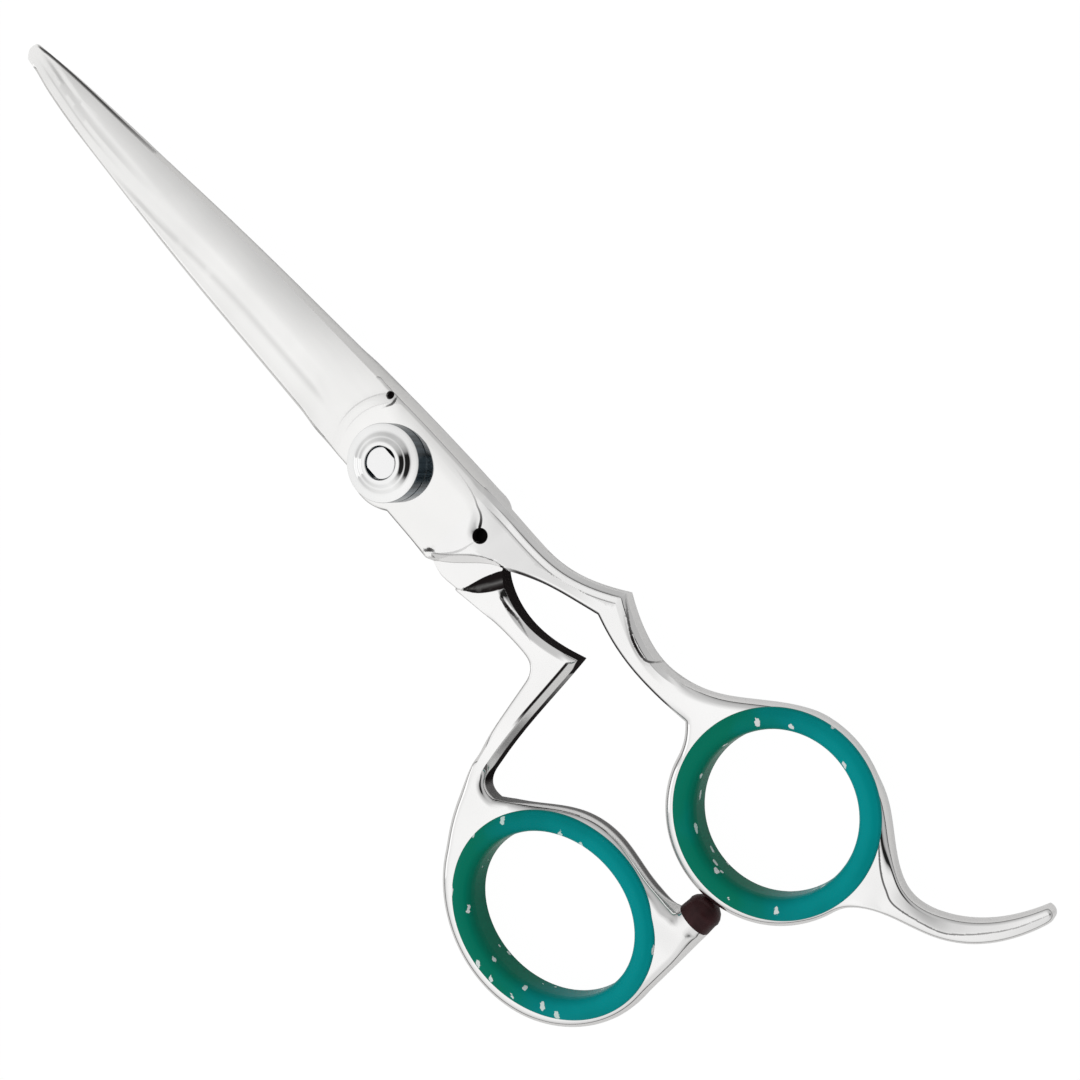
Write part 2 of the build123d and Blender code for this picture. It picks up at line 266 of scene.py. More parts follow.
class Crease:
    """Curved line across a plan, with a narrow step down on its right-hand side.

    depth and width are the step's where it is strongest, peak says how far along that is,
    and the surface comes level again at fade.
    """

    # The last argument sets how dark the step is painted: a painted shade and dark reflection.
    def __init__(self, points, depth, width=0.3, fade=1.5, taper=0.8, peak=0.5, painted_shade=0.0):
        self.depth, self.width, self.fade, self.taper = depth, width, fade, taper
        self.bias = np.log(0.5) / np.log(peak)
        self.painted_shade = painted_shade
        self.line = curved(np.array(points, float), 0.2)

    def beside(self, x, y):
        """Distance to the right of the line, and how far along it, from 0 to 1."""
        spans = np.diff(self.line, axis=0)
        best, along, gap = projected(np.column_stack([x, y]), self.line[:-1], spans)
        span = spans[best]
        side = np.sign(span[:, 1] * gap[:, 0] - span[:, 0] * gap[:, 1])
        return side * np.hypot(*gap.T), (best + along) / len(spans)

    def strength(self, along):
        return np.sin(pi * np.clip(along, 0.001, 0.999) ** self.bias) ** self.taper

    def reach(self, along):
        """Width of the step itself."""
        return self.width * (0.25 + 0.75 * self.strength(along))

    def step(self, s):
        right, along = self.beside(s.x, s.y)
        edge = share(right, 0, self.reach(along))
        return self.depth * self.strength(along) * edge * (1 - ramp(right, self.width, self.fade))

    def painted_step_shade(self, s):
        """Painted shade and painted dark reflection on the step itself."""
        right, along = self.beside(s.x, s.y)
        on_step = (right > -ON_LINE) & (right < self.reach(along) + ON_LINE)
        return self.painted_shade * self.strength(along) ** 0.4 * on_step

    def shifted(self, rightward):
        """The line moved to its right, by one distance or by one for each of its points."""
        return self.line + to_the_right(np.gradient(self.line, axis=0)) * np.reshape(rightward, (-1, 1))

    def marks(self):
        reach = self.reach(np.linspace(0, 1, len(self.line)))
        return [self.shifted(distance) for distance in (-CLOSE, 0, reach, reach + CLOSE)]


def curved(points, step):
    """Points along a smooth curve through the given ones."""
    tangents = np.gradient(points, axis=0)
    pieces = []
    for i in range(len(points) - 1):
        length = np.linalg.norm(points[i + 1] - points[i])
        t = np.linspace(0, 1, max(2, int(length / step)), endpoint=False)[:, None]
        leaving, arriving = 2 * t ** 3 - 3 * t ** 2 + 1, 3 * t ** 2 - 2 * t ** 3
        pieces.append(leaving * points[i] + (t ** 3 - 2 * t ** 2 + t) * tangents[i]
                      + arriving * points[i + 1] + (t ** 3 - t ** 2) * tangents[i + 1])
    return np.concatenate([*pieces, points[-1:]])


# ---- plan meshes ----

ROW_STEP = 0.866         # between the rows of a triangular grid, in spacings
HOLE_MARGIN = 0.12       # mesh points keep this far from a hole's edge
CLEAR = 0.985            # share of an inset's distance that its points keep from the outline


def inset(loop, distance):
    """The loop moved inward, without the points that come too near another stretch."""
    moved = loop - outward_normals(loop) * distance
    return moved[nearest(moved, loop)[0] > distance * CLEAR]


def plan(outline, holes, insets, marks, spacing):
    """Triangles of a half seen from above, with points that follow its edges and marks."""
    rings = [inset(outline, distance) for distance in insets]
    low_corner, high_corner = outline.min(0), outline.max(0)
    rows = np.arange(low_corner[1], high_corner[1], spacing * ROW_STEP)
    columns = np.arange(low_corner[0], high_corner[0], spacing)
    grid = np.array([(x + spacing / 2 * (i % 2), y) for i, y in enumerate(rows) for x in columns])
    grid = grid[inside(grid, outline)]
    grid = grid[nearest(grid, outline)[0] > max(insets) + spacing * 0.6]
    for mark in marks:
        grid = grid[np.abs(grid[:, None] - mark[None]).max(2).min(1) > spacing * 0.5]
    free = np.concatenate([*rings, *marks, grid])
    free = free[inside(free, outline)]
    free = free[nearest(free, outline)[0] > min(insets) * 0.9]
    for hole in holes:
        free = free[~inside(free, hole)]
        free = free[nearest(free, hole)[0] > HOLE_MARGIN]
    loops = [outline, *holes]
    places = np.concatenate([*loops, free])
    edges = []
    count = 0
    for loop in loops:
        edges += [(count + i, count + (i + 1) % len(loop)) for i in range(len(loop))]
        count += len(loop)
    verts, _, faces, _, _, _ = delaunay_2d_cdt(
        [Vector(p) for p in places], edges, [], 1, 1e-5)
    points = np.array(verts)
    triangles = np.array(faces)
    middles = points[triangles].mean(1)
    for hole in holes:
        triangles = triangles[~inside(middles, hole)]
        middles = points[triangles].mean(1)
    used, where = np.unique(triangles, return_inverse=True)
    return points[used], where.reshape(-1, 3)


def solid(name, points, triangles, top, bottom, painted_shade, satin):
    """Closed mesh between two height fields over a plan, with its painted shade and its satin finish."""
    count = len(points)
    verts = np.concatenate([np.column_stack([points, top]), np.column_stack([points, bottom])])
    sides = np.concatenate([triangles[:, [0, 1]], triangles[:, [1, 2]], triangles[:, [2, 0]]])
    directed = set(map(tuple, sides))
    rim = [(a, b) for a, b in directed if (b, a) not in directed]
    faces = [tuple(t) for t in triangles]
    faces += [(c + count, b + count, a + count) for a, b, c in triangles]
    faces += [(b, a, a + count, b + count) for a, b in rim]
    mesh = bpy.data.meshes.new(name)
    mesh.from_pydata((verts * MM).tolist(), [], [tuple(int(i) for i in f) for f in faces])
    face, rim = painted_shade
    # painted shade and painted dark reflection go on the top points, and the rim's also on the bottom
    # ones; satin is the brushed finish
    shade_and_satin = {"painted_shade": (np.maximum(face, rim), rim), "satin": (satin, satin)}
    for layer_name, (above, below) in shade_and_satin.items():
        values = np.concatenate([above, below]).clip(0, 1).astype(np.float32)
        mesh.attributes.new(layer_name, "FLOAT", "POINT").data.foreach_set("value", values)
    return mesh


def part_of(mesh, name, ahead):
    """The part of a mesh ahead of the weld seam or behind it, closed at the seam."""
    work = bmesh.new()
    work.from_mesh(mesh)
    geometry = work.verts[:] + work.edges[:] + work.faces[:]
    cut = bmesh.ops.bisect_plane(
        work, geom=geometry, plane_co=(SEAM_X * MM, 0, 0), plane_no=(1, 0, 0), dist=1e-8,
        clear_inner=ahead, clear_outer=not ahead)["geom_cut"]
    edges = [e for e in cut if isinstance(e, bmesh.types.BMEdge)]
    bmesh.ops.triangle_fill(work, edges=edges, use_beauty=True)
    bmesh.ops.recalc_face_normals(work, faces=work.faces)
    piece = bpy.data.meshes.new(name)
    work.to_mesh(piece)
    work.free()
    return piece


def show(mesh, name, body, material, replaced, crease=32.0):
    """Puts a mesh on its body in place of its CAD nodes."""
    mesh.polygons.foreach_set("use_smooth", [True] * len(mesh.polygons))
    mesh.set_sharp_from_angle(angle=radians(crease))
    piece = bpy.data.objects.new(name, mesh)
    bpy.context.scene.collection.objects.link(piece)
    piece.data.materials.append(material)
    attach(piece, body)
    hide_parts(*replaced)
    return piece


# ---- the two halves as height fields ----

RICASSO = (7.6, 8.9)     # arc shoulder from the flat about the pivot to the blade's face
SHOULDER_STEP = 0.06     # least drop across that shoulder
RISE = (14.0, 46.0)      # the upper face comes down between these distances behind the pivot
CROTCH = (21.0, 46.0)    # and the inner face of the upper half between these
THUMB_RISE = (21.0, 36.0)
FINGER_RING = (44, 52)   # the finger half's shank becomes its ring between these
FINGER_REST = (76, 80)   # and the ring becomes the finger rest between these
THUMB_BLADE = (6, 9)     # the thumb half is brushed and sharp-edged ahead of these
THUMB_RING = (40, 44)    # the thumb half's shank is all ring past these, behind the pivot
THUMB_RING_SIDE = ((33, 36), (17, 24))       # or past these, behind it and toward +Y
CRANK = (34, 38)         # the cranked shank's inner side lies between these
FACETS = (0.6, 1.5)      # widths of the two facets along the finger shank's outer side
TIP_THICK = 0.9
TIP_CAP = 0.8 * TIP_THICK    # the rounded end of the tip
TIP_RUN = (7, 1)         # the blade eases to that thickness between these distances from its end
TIP_BARE = (3, 1.2)      # and the work along its sides fades out between these
TIP_LINES_APART = 1.1    # between the two lines that run out of the tip
ROOT_THICK = UPPER_FACE - UPPER_INNER
ROOT_X = 8.0
BEVEL_START = (8.5, 12)  # the edge bevel and the hollow grinding fade in between these
HOLLOW = 0.14            # hollow grinding of each inner face
HOLLOW_RUN = (0.4, 2.2)  # from the outline
STUD_HOLE_R = 2.52       # through the thumb half
STEM = 2.4               # of the bumper, in its lug
REAR_WIDTH = 1.15        # of the slope along the finger half's rear edge
REAR_DROP = 2.3
LEAN = 0.11              # slope of the finger half's shank toward its outer side
DOME = 0.03              # how fast the flat about the pivot curves down to that side
EDGE_WIDTH = 0.28        # of the ground bevel along each cutting edge
EDGE_THICK = 0.15
RING_TOP_EDGE = (1.5, rounded, 1.35)     # depth, shape and width
RING_FOOT_EDGE = (1.3, rounded, 1.2)
NOTCH = (6.3, -5.9)      # small round relief where the shoulder meets the side
NOTCH_R = 0.5
NOTCH_DEPTH = 0.7
DIMPLE = (-15.1, -2.4)   # drilled mark behind the pivot
DIMPLE_R = 1.0
DIMPLE_DEPTH = 1.4


# each crease steps the face down a little and carries a painted dark line of shade and reflection along
# its step
FINGER_CREASES = [
    # rear corner of the flat about the pivot, down to the drilled mark
    Crease([(-4.7, -6.1), (-7.4, -5.9), (-9.4, -5.7), (-11.2, -5.3), (-12.2, -4.9), (-13.3, -4.5),
            (-14.1, -3.8), (-14.8, -2.6), (-15.2, -1.6)],
           depth=0.2, width=0.42, fade=1.6, taper=1.2, peak=0.88, painted_shade=1.0),
    # short cut beside the relief in the shoulder
    Crease([(5.45, -6.4), (5.2, -6.0), (5.1, -5.4), (5.6, -4.4)],
           depth=0.03, fade=0.5, peak=0.3, painted_shade=0.85),
    # the flat's faint rear arc, and a small nick where it meets the spine side
    Crease([(-15.2, -1.6), (-14.7, 0.8), (-13.4, 2.8), (-11.8, 4.2)],
           depth=0.05, width=0.25, fade=3, painted_shade=0.2),
    Crease([(-12.3, 3.5), (-11.7, 4.0), (-11.2, 4.6)], depth=0.1, width=0.45, fade=0.6, painted_shade=0.9),
    # inner side of the shank behind the knuckle
    Crease([(-33.6, -10.7), (-36.2, -8.9), (-38.2, -7.8), (-40.2, -7.3), (-41.2, -7.5), (-42.0, -8.3)],
           depth=0.03, width=0.32, fade=0.7, peak=0.6, painted_shade=1.0),
]
# ridge of the finger rest: no step, only a painted dark reflection line along it; the rest's sides fall
# away from it
REST_RIDGE = Crease([(-75.5, -13.6), (-78, -11.5), (-80, -10.4), (-82.2, -9.9), (-87, -11.5),
                     (-89.2, -13.3), (-91.3, -16.2), (-92.9, -19.2), (-94.2, -23.2)],
                    depth=0.0, width=0.16, peak=0.12, painted_shade=0.8)
THUMB_CREASES = [
    # painted dark line, over a small step, along the inner side of the cranked shank
    Crease([(-29.0, 2.5), (-25.9, 2.0), (-23.7, 2.0), (-21.9, 1.7)],
           depth=0.1, width=0.32, fade=0.6, taper=0.9, peak=0.75, painted_shade=1.0),
]
# the thumb half rises between these two lines, just past the finger half's rear edge
SCOOP_FOOT = Crease([(-17.0, 5.4), (-17.6, 4.7), (-18.5, 1.8), (-19.5, -0.4), (-20.3, -1.6)], 0.0)
SCOOP_TOP = Crease([(-17.1, 5.5), (-17.9, 4.75), (-19.6, 3.4), (-21.1, 1.3), (-21.9, -0.5)], 0.0)
SCOOP_X = -16.5          # the scoop lies behind this
SCOOP_RISE = 0.85
# middle of the finger half's shank, between its outer and its inner side
SHANK_MIDDLE = ((-49, -8), (-42, -6.4), (-37, -7.2), (-33, -8.8), (-30, -7.8), (-26, -6.2), (-21, -4.5),
                (-13, -3), (0, 0))
# rows of mesh points follow the outline at these distances, where an edge or a line is worked
EDGE_INSETS = (0.05, 0.14, 0.28, 0.42, 0.53, 0.6, 0.67, 0.85, 0.95, 1.05, 1.15, 1.32, 1.43, 1.5, 1.57)


class Spots:
    """Plan points with what the height fields need to know about each."""

    def __init__(self, points, outline):
        self.outline = outline
        self.x, self.y = points.T
        self.edge, place = nearest(points, outline)
        self.edge[:len(outline)] = 0
        self.near_x, self.near_y = place.T
        self.pivot = np.hypot(self.x, self.y)
        self.behind = -self.near_x
        self.outer = self.near_y < np.interp(self.near_x, *zip(*SHANK_MIDDLE))


def ridge_line(x):
    """Where the blade's flat face meets the fluted spine side."""
    return 1.3 + 1.6 * ramp(x, 28, 58) + 1.3 * ramp(-x, -13, -9)


def tip_line(x):
    """Where a second, shallow flute runs out of the tip."""
    return 0.5 - 1.3 * ramp(x, 62, 80)


def lip(past, before, rise):
    """A dip that deepens over one distance toward a line and ends in a short rise across it."""
    return ramp(past, -before, -rise / 2) * (1 - ramp(past, -rise / 2, rise / 2))


def blade_sides(x, outline):
    """The outline's y on the cutting side and on the spine side, at each x."""
    ahead = outline[outline[:, 0] > 2]
    upper = ahead[:, 1] > ridge_line(ahead[:, 0]) * 0.5
    sides = []
    for side in (~upper, upper):
        stretch = ahead[side]
        stretch = stretch[stretch[:, 0].argsort()]
        sides.append(np.interp(x, stretch[:, 0], stretch[:, 1]))
    return sides


def blade_thickness(s, side):
    """Thickness of a blade: a soft crest, a flute along its spine and a ground cutting edge.

    side is +1 for the finger blade, whose cutting edge is on -Y, and -1 for the thumb blade.
    """
    x, y = s.x, s.y * side
    full = TIP_THICK + (ROOT_THICK - TIP_THICK) * share(x, TIP_X, ROOT_X) ** 0.8
    cutting, spine = blade_sides(x, s.outline * [1, side])
    ridge = np.clip(ridge_line(x), cutting + 0.45 * (spine - cutting), spine - 0.1)
    crest = ridge - 0.1 * (ridge - cutting)
    fallen = 0.12 + 0.18 * ramp(x, 5, 26) + 0.16 * ramp(x, 12, 34)
    start = ramp(x - 0.9 * np.abs(y - 2.9), 8.8, 13)
    face = 1 - fallen * share(y, crest, cutting) ** 2.2
    flute = 1 - 0.2 * share(y, ridge, spine) ** 3 * start
    thick = full * np.where(y < ridge, face, flute)
    past_tip_line = y - tip_line(x)
    tipward = ramp(x, 46, 60)
    thick -= 0.17 * start * (1 - ramp(x, 50, 62)) * lip(y - ridge_line(x), 2.8, 1.1)
    thick -= 0.11 * tipward * lip(past_tip_line, 1.0, 0.35)
    thick -= 0.05 * tipward * lip(past_tip_line - TIP_LINES_APART, 0.8, 0.35)
    thick += (TIP_CAP - thick) * ramp(x, *(TIP_X - run for run in TIP_RUN))
    bevel = sloped(s.edge, EDGE_WIDTH) * (s.near_y * side < 0) * ramp(x, *BEVEL_START) * short_of_tip(x)
    return thick + (EDGE_THICK - thick) * bevel


def short_of_tip(x):
    """Fades the work along a blade's sides out before its rounded tip."""
    return 1 - ramp(x, *(TIP_X - bare for bare in TIP_BARE))


def dropped(s, *cuts):
    """How far an edge has dropped. Each cut is where it lies, its depth, its shape and its width."""
    return sum(where * depth * shape(s.edge, width) for where, depth, shape, width in cuts)


def finger_top(s):
    top = UPPER_FACE + (RING_TOP - UPPER_FACE) * ramp(-s.x, *RISE)
    blade = UPPER_INNER + blade_thickness(s, 1)
    shoulder = share(s.pivot, *RICASSO) * (s.x > 0)
    top += (np.minimum(blade, top - SHOULDER_STEP) - top) * shoulder
    for crease in FINGER_CREASES:
        top -= crease.step(s)
    rest = ramp(s.behind, *FINGER_REST)
    ring = ramp(s.behind, *FINGER_RING) * (1 - rest)
    outer_facet = between(s.behind, 11, 44, 2) * s.outer
    shank = between(s.behind, 24, 48, 2) * ~s.outer
    ricasso = (1 - ramp(s.behind, 8, 13)) * ramp(s.behind, -10, -7)
    spine = ramp(-s.behind, 6, 10) * (s.near_y > 0)
    rear = rear_edge(s)
    top -= dropped(
        s,
        (ring, *RING_TOP_EDGE),
        (outer_facet, 0.38, sloped, FACETS[0]),
        (outer_facet, 0.1, sloped, FACETS[1]),
        (rear, REAR_DROP, sloped, REAR_WIDTH * np.maximum(rear, 0.04)),
        (shank * (1 - ring), 0.45, rounded, 0.6),
        (ricasso, 0.3, rounded, 0.45),
        (spine * short_of_tip(s.x), 0.3, sloped, 0.42),
        (rest, 0.6, rounded, 0.5))
    top -= finger_lean(s) + rest * rest_sides(s)
    top -= DOME * np.clip(-3.4 - s.y, 0, 4) ** 2 * (1 - ramp(np.abs(s.x + 4), 7, 12))
    top -= DIMPLE_DEPTH * (1 - share(hole_distance(s, DIMPLE), DIMPLE_R - 0.15, DIMPLE_R))
    return top - NOTCH_DEPTH * (1 - ramp(hole_distance(s, NOTCH), NOTCH_R - 0.2, NOTCH_R + 0.05))


def finger_lean(s):
    """How far the shank's face has sunk toward its outer side, except on the facet there."""
    middle = np.interp(s.x, *zip(*SHANK_MIDDLE))
    sunk = np.clip(middle + 3 - s.y, 0, 6) - s.outer * np.clip(FACETS[1] - s.edge, 0, FACETS[1])
    return LEAN * ramp(-s.x, 12, 17) * (1 - ramp(-s.x, 27, 34)) * sunk


def rest_sides(s):
    """How far the finger rest falls away on each side of its ridge."""
    across, _ = REST_RIDGE.beside(s.x, s.y)
    left, right = share(across, 0, -2), share(across, 0, 1.6)
    return (0.5 * left ** 1.3 + 0.45 * right ** 1.2) * ramp(-s.x, 79, 87)


def rear_edge(s):
    """How fully the finger half's rear edge, over the thumb half, is sloped."""
    return ramp(s.behind, 11.8, 13.0) * (1 - share(s.behind, 16, 21) ** 2) * ~s.outer


def hole_distance(s, centre):
    return np.hypot(s.x - centre[0], s.y - centre[1])


def darkest(*layers):
    """The most painted shade that any of the layers has at each point."""
    return np.maximum.reduce(layers)


def at_edge(s, start, end):
    """1 along the outline, fading between two distances from it."""
    return 1 - ramp(s.edge, start, end)


def finger_painted_shade(s):
    """Where the finger half gets painted shade and painted dark reflections, on its face and on its rim.
    """
    arcs = ramp(s.y, -7, -4.5) * (1 - ramp(s.y, -1, 2.5)) * (s.x > 0)
    cutting = between(s.near_x, 55, TIP_X - 1, 0.4) * ramp(s.near_x, 48, 66) * (s.near_y < 0)
    shank = between(s.behind, 14, 33, 1.5) * s.outer
    heel = between(s.behind, 3, 11.5, 1) * (s.near_y > 0)
    inner = between(s.behind, 21, 47, 1) * ~s.outer
    rear = rear_edge(s)
    # painted shade and painted dark reflections: lines on creases, facets and edges, faint pivot arcs,
    # and the dark insides of the drilled mark and the notch
    painted_shade = darkest(
        sum(crease.painted_step_shade(s) for crease in (*FINGER_CREASES, REST_RIDGE)),
        hole_distance(s, DIMPLE) < DIMPLE_R + 0.01,
        hole_distance(s, NOTCH) < NOTCH_R - 0.04,
        0.85 * cutting * at_edge(s, 0.14, 0.28),
        0.2 * arcs * line_at(s.pivot, RICASSO[1], 0.09),
        0.12 * arcs * line_at(s.pivot, RICASSO[0], 0.09),
        1.0 * shank * line_at(s.edge, FACETS[0]) * ramp(s.behind, 13, 20),
        0.75 * shank * line_at(s.edge, FACETS[1]),
        0.6 * heel * at_edge(s, 0.14, 0.28),
        0.5 * rear * (line_at(s.edge, REAR_WIDTH * rear, 0.08) + line_at(s.edge, 0)),
        0.95 * inner * at_edge(s, 0.28, 0.42))
    return painted_shade, np.zeros(len(s.x))


def finger_satin(s):
    """Brushed blade ahead of the polished flat about the pivot."""
    return ramp(s.pivot, *RICASSO) * (s.x > 0)


def thumb_satin(s):
    return ramp(s.x, *THUMB_BLADE)


def hollow(s):
    """Depth of the hollow grinding of a blade's inner face."""
    return HOLLOW * ramp(s.edge, *HOLLOW_RUN) * ramp(s.x, *BEVEL_START)


def finger_bottom(s):
    bottom = UPPER_INNER + (RING_BASE - UPPER_INNER) * ramp(-s.x, *CROTCH)
    ring = ramp(s.behind, *FINGER_RING)
    shank = (1 - ring) * ramp(s.behind, 20, 24)
    return bottom + hollow(s) + dropped(s, (ring, *RING_FOOT_EDGE), (shank, 0.25, rounded, 0.3))


def across_scoop(s):
    """Distances past the foot of the scooped rise and short of its top."""
    return SCOOP_FOOT.beside(s.x, s.y)[0], -SCOOP_TOP.beside(s.x, s.y)[0]


def risen(s):
    """0 on the thumb half's inner face, 1 on its shank, and the scooped rise between."""
    past_foot, before_top = across_scoop(s)
    part = np.clip(past_foot, 0, None) / (np.clip(past_foot, 1e-6, None) + np.clip(before_top, 0, None))
    return np.where(s.x > SCOOP_X, 0, part)


def thumb_painted_shade(s):
    """Where the thumb half gets painted shade and painted dark reflections, on its face and on its rim.
    """
    past_foot, before_top = across_scoop(s)
    scoop = (past_foot > -ON_LINE) & (before_top > -ON_LINE) & (s.x < SCOOP_X) & (s.y < 4.75)
    on_crank = between(s.behind, *CRANK, 0.5)
    crank = on_crank * between(s.near_y, 0, 20.5, 1)
    line = ramp(s.edge, 0.53, 0.6) * at_edge(s, 0.85, 0.95) * between(s.near_y, -0.5, 10.5, 1.5)
    heel = between(s.behind, 14, 34, 2) * (s.near_y > 2) * (1 - on_crank)
    # painted shade and painted dark reflections: the scoop under the finger half's rear edge, and lines
    # along the crank and the heel
    painted_shade = darkest(
        sum(crease.painted_step_shade(s) for crease in THUMB_CREASES),
        scoop * (1 - 0.2 * line_at(risen(s), 0.6, 0.1)),
        crank * line,
        0.5 * crank * between(s.near_y, 10, 16, 2) * at_edge(s, 0.42, 0.6),
        0.35 * heel * at_edge(s, 0.05, 0.14))
    # painted dark reflections on the side walls behind the pivot, along the crank and at the ring
    rim = darkest(
        between(s.behind, 19, 35.2, 0.3) * (s.near_y < 2),
        crank * ramp(s.near_y, -6, 9),
        0.75 * between(s.behind, 36, 66, 1) * between(s.near_y, 10, 21, 0.5))
    return painted_shade, rim * (s.edge < 0.01)


def thumb_ring(s):
    """1 on the thumb half's ring, 0 on its shank and blade."""
    behind, aside = THUMB_RING_SIDE
    return np.maximum(ramp(s.behind, *THUMB_RING), ramp(s.near_y, *aside) * ramp(s.behind, *behind))


def thumb_top(s):
    rise = SCOOP_RISE * risen(s) + (1 - SCOOP_RISE) * ramp(-s.x, *THUMB_RISE)
    top = MATE + (RING_TOP - MATE) * rise - hollow(s)
    for crease in THUMB_CREASES:
        top -= crease.step(s)
    ring = thumb_ring(s)
    crank = between(s.behind, *CRANK, 1) * between(s.near_y, 0.5, 18.5, 1) * (1 - ring)
    inner = between(s.behind, 21.5, 33, 1) * (s.near_y < 2) * (1 - crank)
    shank = ramp(s.behind, 21, 24) * (1 - ring) * (1 - crank) * (1 - inner)
    top -= dropped(
        s,
        (ring, *RING_TOP_EDGE),
        (crank, 1.6, sloped, 0.6),
        (shank, 0.4, rounded, 0.55),
        (inner, 0.35, sloped, 0.9))
    return lug_blend(s, top, 1)


def thumb_bottom(s):
    blade = MATE - blade_thickness(s, -1)
    bottom = np.full(len(s.x), LOWER_FACE)
    bottom += (np.maximum(blade, bottom) - bottom) * ramp(s.pivot, *RICASSO) * (s.x > 0)
    ring = thumb_ring(s)
    crotch = ramp(s.behind, 24, 34) * (1 - ramp(s.near_y, -4, 0))
    bottom += dropped(
        s,
        (ring, *RING_FOOT_EDGE),
        ((1 - ring) * (1 - ramp(s.x, *THUMB_BLADE) * (s.near_y > 0)), 0.3, rounded, 0.4),
        (crotch, 1.9, sloped, 0.85))
    return lug_blend(s, bottom, -1)


def bumper_place():
    """The bumper's corners, its radius, and where its axis is in x and z."""
    lowest, highest = low("bumper"), high("bumper")
    return lowest, highest, (highest[0] - lowest[0]) / 2, ((highest + lowest) / 2)[[0, 2]]


def lug_blend(s, height, side):
    """Round lug behind the bumper, running into the thumb ring."""
    _, highest, radius, (axis_x, axis_z) = bumper_place()
    end = highest[1] - STEM
    within = np.clip(radius - np.abs(s.x - axis_x), 0, None)
    either = (s.edge ** 4 + within ** 4) ** 0.25
    from_side = within + (either - within) * ramp(s.y, end + 0.1, end + 1.2)
    round_height = axis_z + side * radius * (1 - rounded(from_side, radius))
    amount = (1 - ramp(s.y, 12.3, 17)) * ramp(-s.x, 61.5, 64.5)
    return height + (round_height - height) * amount


def half_mesh(name, blade, handle, heights, holes, marks, top, bottom, painted_shade, satin):
    """One whole half of the shears, from its outline in the CAD and its height fields."""
    outline, ring_hole = half_outline(blade, handle, heights)
    points, triangles = plan(outline, [ring_hole, *holes], EDGE_INSETS, marks, 0.5)
    spots = Spots(points, outline)
    return solid(name, points, triangles, top(spots), bottom(spots), painted_shade(spots), satin(spots))


def ridge_marks(flip, step=0.25):
    """Lines of points on the ridge of a blade's outer face, and on each side of its tip lines."""
    x = np.arange(11, TIP_X - 1, step)
    ridge = [np.column_stack([x, ridge_line(x) * flip])]
    x = np.arange(46, TIP_X - 2, step)
    asides = (-0.18, 0.18, TIP_LINES_APART - 0.18, TIP_LINES_APART + 0.18)
    return ridge + [np.column_stack([x, (tip_line(x) + aside) * flip]) for aside in asides]


def finger_marks():
    pivot_arcs = [arc(radius + step, -50, 30, 0.15) for radius in RICASSO for step in (-0.14, 0, 0.14)]
    creases = [mark for crease in (*FINGER_CREASES, REST_RIDGE) for mark in crease.marks()]
    dimple = [circle(DIMPLE_R - step, DIMPLE, 0.15) for step in (-0.07, 0, 0.15, 0.4, 0.7)]
    notch = [circle(NOTCH_R - step, NOTCH, 0.1) for step in (-0.05, 0.05, 0.2)]
    return pivot_arcs + dimple + notch + ridge_marks(1) + creases


def thumb_marks():
    """Points on the thumb blade's ridge, the scooped rise and the shank's creases."""
    scoop = [SCOOP_FOOT.shifted(-CLOSE), SCOOP_FOOT.line, SCOOP_TOP.line, SCOOP_TOP.shifted(CLOSE)]
    return ridge_marks(-1) + scoop + [mark for crease in THUMB_CREASES for mark in crease.marks()]


def shear_halves(blade_steel, handle_steel):
    finger = half_mesh(
        "finger_half", "finger_blade", "finger_handle",
        (UPPER_INNER + SECTION_STEP, UPPER_INNER + SECTION_STEP),
        [circle(BUSH_R)], finger_marks(), finger_top, finger_bottom, finger_painted_shade,
        finger_satin)
    thumb = half_mesh(
        "thumb_half", "thumb_blade", "thumb_handle",
        (MATE - SECTION_STEP, LOWER_FACE + SECTION_STEP),
        [circle(STUD_HOLE_R)], thumb_marks(), thumb_top, thumb_bottom, thumb_painted_shade, thumb_satin)
    for mesh, side in ((finger, "finger"), (thumb, "thumb")):
        body = f"{side}_half"
        show(part_of(mesh, f"{side}_blade_forged", True), f"{side}_blade_forged", body,
             blade_steel, [f"{side}_blade"])
        show(part_of(mesh, f"{side}_handle_cast", False), f"{side}_handle_cast", body,
             handle_steel, [f"{side}_handle"])


# ---- turned and swept pieces ----

def filleted(corners, steps=6):
    """Points of a closed profile whose corners are rounded: (across, up, radius)."""
    points = []
    count = len(corners)
    for i, (across, up, radius) in enumerate(corners):
        here = np.array([across, up], float)
        before = np.array(corners[i - 1][:2], float) - here
        after = np.array(corners[(i + 1) % count][:2], float) - here
        if radius == 0:
            points.append(here)
            continue
        before /= np.linalg.norm(before)
        after /= np.linalg.norm(after)
        half_angle = np.arccos(np.clip(before @ after, -1, 1)) / 2
        middle = (before + after) / np.linalg.norm(before + after)
        centre = here + middle * radius / np.sin(half_angle)
        reach = radius / np.tan(half_angle)
        start, end = here + before * reach - centre, here + after * reach - centre
        for step in range(steps + 1):
            mixed = start * (1 - step / steps) + end * step / steps
            points.append(centre + mixed / np.linalg.norm(mixed) * radius)
    return np.array(points)


def woven(name, grid, closed_rows=True):
    """Mesh of a grid of points that closes on itself along its columns, and its rows too."""
    rows, columns = grid.shape[:2]
    faces = []
    for i in range(rows if closed_rows else rows - 1):
        for j in range(columns):
            a, b = i * columns + j, i * columns + (j + 1) % columns
            c, d = ((i + 1) % rows) * columns + j, ((i + 1) % rows) * columns + (j + 1) % columns
            faces.append((a, b, d, c))
    mesh = bpy.data.meshes.new(name)
    mesh.from_pydata((grid.reshape(-1, 3) * MM).tolist(), [], faces)
    work = bmesh.new()
    work.from_mesh(mesh)
    bmesh.ops.remove_doubles(work, verts=work.verts, dist=1e-8)
    bmesh.ops.holes_fill(work, edges=[e for e in work.edges if e.is_boundary])
    bmesh.ops.recalc_face_normals(work, faces=work.faces)
    work.to_mesh(mesh)
    work.free()
    return mesh


